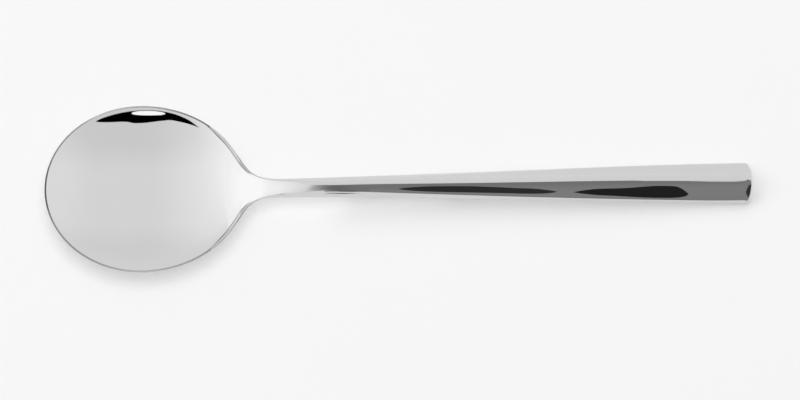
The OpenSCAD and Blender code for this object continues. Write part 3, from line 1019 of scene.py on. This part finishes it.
def make_neck_cards():
    """A card beside the neck where the handle's dark face fades out, and a streak under it."""
    flag = NECK_FLAG_LOW + NECK_FLAG_HIGH
    streak = [(x, z - NECK_STREAK_HEIGHT) for x, z in NECK_STREAK_HIGH] + NECK_STREAK_HIGH[::-1]
    make_card(graded_glow("neck_flag", NECK_FLAG_LEVELS, 1.0, NECK_FLAG_TILT), slanted(flag))
    make_card(graded_glow("neck_streak", NECK_STREAK_LEVELS, 1.0, 0.0), slanted(streak))


def make_ridge_cards():
    """A folded card that takes the dark face up to the ridge."""
    lid = [Vector((x, y, RIDGE_LID_Z)) * MM for x, y in RIDGE_LID]
    for name, outline in (("ridge_card", upright(RIDGE_CARD_Y, RIDGE_CARD)), ("ridge_lid", lid)):
        make_card(graded_glow(name, RIDGE_LEVELS, 1.0, RIDGE_TILT), outline)


def make_butt_cards():
    """A grey card with a dark spot, which the rounded front corner of the butt shows."""
    make_card(even_glow("butt_flag", BUTT_FLAG_LEVEL), at_butt(BUTT_FLAG))
    make_card(even_glow("butt_spot", BUTT_SPOT_LEVEL), at_butt(smooth_line(BUTT_SPOT), CARD_GAP))


def make_neck_glow():
    """A light card over the neck."""
    front, back = NECK_GLOW_Y - NECK_GLOW_HALF, NECK_GLOW_Y + NECK_GLOW_HALF
    corners = [(NECK_GLOW_START, front), (NECK_GLOW_END, front),
               (NECK_GLOW_END, back), (NECK_GLOW_START, back)]
    make_card(neck_glow(), [Vector((x, y, z)) * MM for (x, z), y in corners])


def make_world():
    """Even light on the floor. Polished metal sees a studio that is brighter beyond the bowl's tip."""
    world = bpy.data.worlds.new("studio")
    bpy.context.scene.world = world
    world.use_nodes = True
    nodes, links = world.node_tree.nodes, world.node_tree.links
    coordinates = nodes.new("ShaderNodeTexCoord")
    direction = nodes.new("ShaderNodeSeparateXYZ")
    links.new(coordinates.outputs["Generated"], direction.inputs["Vector"])
    level = STUDIO_LEVEL
    for axis, start, end, change in STUDIO_SIDES:
        side = smooth_range(nodes, links, direction.outputs[axis], start, end, 0, change)
        level = math_node(nodes, links, "ADD", level, side)
    height = smooth_range(nodes, links, direction.outputs["Z"], *HORIZON, 0, 1)
    studio = nodes.new("ShaderNodeMix")
    studio.inputs["A"].default_value = FLOOR_TONE
    links.new(height, studio.inputs["Factor"])
    links.new(level, studio.inputs["B"])
    seen = nodes.new("ShaderNodeLightPath")
    strength = nodes.new("ShaderNodeMix")
    strength.inputs["A"].default_value = WORLD_FILL
    links.new(seen.outputs["Is Glossy Ray"], strength.inputs["Factor"])
    links.new(studio.outputs["Result"], strength.inputs["B"])
    links.new(strength.outputs["Result"], nodes["Background"].inputs["Strength"])
    nodes["Background"].inputs["Color"].default_value = (1, 1, 1, 1)


def key_direction(elevation, azimuth=KEY_AZIMUTH):
    return Vector((
        math.cos(elevation) * math.cos(azimuth),
        math.cos(elevation) * math.sin(azimuth),
        math.sin(elevation)))


def place_lamp(lamp, location, direction, blockers):
    """Only the blockers throw a shadow in the lamp, and polished metal doesn't show it."""
    lamp.use_shadow = bool(blockers)
    placed_lamp = bpy.data.objects.new(lamp.name, lamp)
    bpy.context.scene.collection.objects.link(placed_lamp)
    placed_lamp.rotation_euler = direction.to_track_quat("Z", "Y").to_euler()
    placed_lamp.location = location
    placed_lamp.visible_camera = False
    placed_lamp.visible_glossy = False
    if blockers:
        shading = bpy.data.collections.new(lamp.name + "_blockers")
        for piece in blockers:
            shading.objects.link(piece)
        placed_lamp.light_linking.blocker_collection = shading


def make_sun(name, level, elevation, spread, blockers=()):
    """A broad light. The level is what a white floor gets."""
    lamp = bpy.data.lights.new(name, "SUN")
    lamp.energy = math.pi * level / math.sin(elevation)
    lamp.angle = spread
    direction = key_direction(elevation)
    place_lamp(lamp, direction, direction, blockers)


def floor_share(centre, size, size_y, steps=24):
    """Share of the floor's sky, at the origin, that a lamp which faces the origin fills."""
    turn = centre.to_track_quat("Z", "Y")
    side, up = turn @ Vector((1, 0, 0)), turn @ Vector((0, 1, 0))
    places = [(i + 0.5) / steps - 0.5 for i in range(steps)]
    points = [centre + side * (u * size) + up * (v * size_y) for u in places for v in places]
    patch = size * size_y / steps ** 2
    return sum(max(0, p.z) * p.dot(centre.normalized()) * patch / (math.pi * p.length ** 4) for p in points)


def make_soft_box(name, level, direction, across, along, distance, blockers):
    """A long soft box behind the spoon. The level is what a white floor gets."""
    lamp = bpy.data.lights.new(name, "AREA")
    lamp.shape = "RECTANGLE"
    lamp.size = 2 * distance * math.tan(along / 2)
    lamp.size_y = 2 * distance * math.tan(across / 2)
    share = floor_share(direction * distance, lamp.size, lamp.size_y)
    lamp.energy = math.pi * lamp.size * lamp.size_y * level / share
    place_lamp(lamp, direction * distance, direction, blockers)


def make_neck_fill(floor):
    """A soft oval lamp under the raised neck that lifts the shadow on the floor there."""
    lamp = bpy.data.lights.new("neck_fill", "AREA")
    lamp.shape = "ELLIPSE"
    lamp.size, lamp.size_y = NECK_FILL_SIZE
    lamp.energy = math.pi * NECK_FILL * (math.pi / 4 * lamp.size * lamp.size_y)
    lamp.use_shadow = False
    fill = bpy.data.objects.new("neck_fill", lamp)
    bpy.context.scene.collection.objects.link(fill)
    fill.location = NECK_FILL_AT
    fill.visible_camera = False
    fill.visible_glossy = False
    lit = bpy.data.collections.new("neck_fill_floor")
    lit.objects.link(floor)
    fill.light_linking.receiver_collection = lit


def make_camera():
    """Almost straight down, a little from the front, and turned so that the handle rises to the right."""
    back = Vector((0, -math.cos(CAMERA_ELEVATION), math.sin(CAMERA_ELEVATION)))
    side = Vector((1, 0, 0))
    up = back.cross(side)
    turned_side = side * math.cos(CAMERA_ROLL) - up * math.sin(CAMERA_ROLL)
    turned_up = side * math.sin(CAMERA_ROLL) + up * math.cos(CAMERA_ROLL)
    lens = bpy.data.cameras.new("camera")
    lens.sensor_width = SENSOR
    lens.lens = SENSOR * CAMERA_DISTANCE / FRAME_WIDTH
    lens.clip_start = CLIP_NEAR
    lens.clip_end = CLIP_FAR
    camera = bpy.data.objects.new("camera", lens)
    bpy.context.scene.collection.objects.link(camera)
    turn = Matrix((turned_side, turned_up, back)).transposed()
    camera.matrix_world = Matrix.Translation(CAMERA_AIM + back * CAMERA_DISTANCE) @ turn.to_4x4()
    bpy.context.scene.camera = camera


def main():
    steel = polished_steel()
    bowl = make_bowl([steel, ground_rim_painted_reflection(), satin_land_painted_reflection()])
    top = make_shell("polished_top_shell", top_contour, "handle_top_shell", [steel])
    bottom = make_shell("polished_bottom_shell", bottom_contour, "handle_bottom_shell", [steel])
    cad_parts["neck_solder"].material_slots[0].material = solder()
    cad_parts["handle_filler"].material_slots[0].material = resin()
    floor = make_floor()
    make_bowl_cards()
    make_handle_cards()
    make_neck_cards()
    make_ridge_cards()
    make_butt_cards()
    make_neck_glow()
    make_world()
    make_sun("bowl_key", BOWL_KEY, BOWL_KEY_ELEVATION, BOWL_KEY_SPREAD, [bowl])
    make_soft_box("handle_key", HANDLE_KEY, key_direction(HANDLE_KEY_ELEVATION, HANDLE_KEY_AZIMUTH),
                  HANDLE_KEY_ACROSS, HANDLE_KEY_ALONG, HANDLE_KEY_DISTANCE, [top, bottom])
    make_sun("open_fill", OPEN_FILL, OPEN_FILL_ELEVATION, OPEN_FILL_SPREAD)
    make_neck_fill(floor)
    make_camera()
    bpy.context.scene.view_settings.view_transform = "Standard"


main()
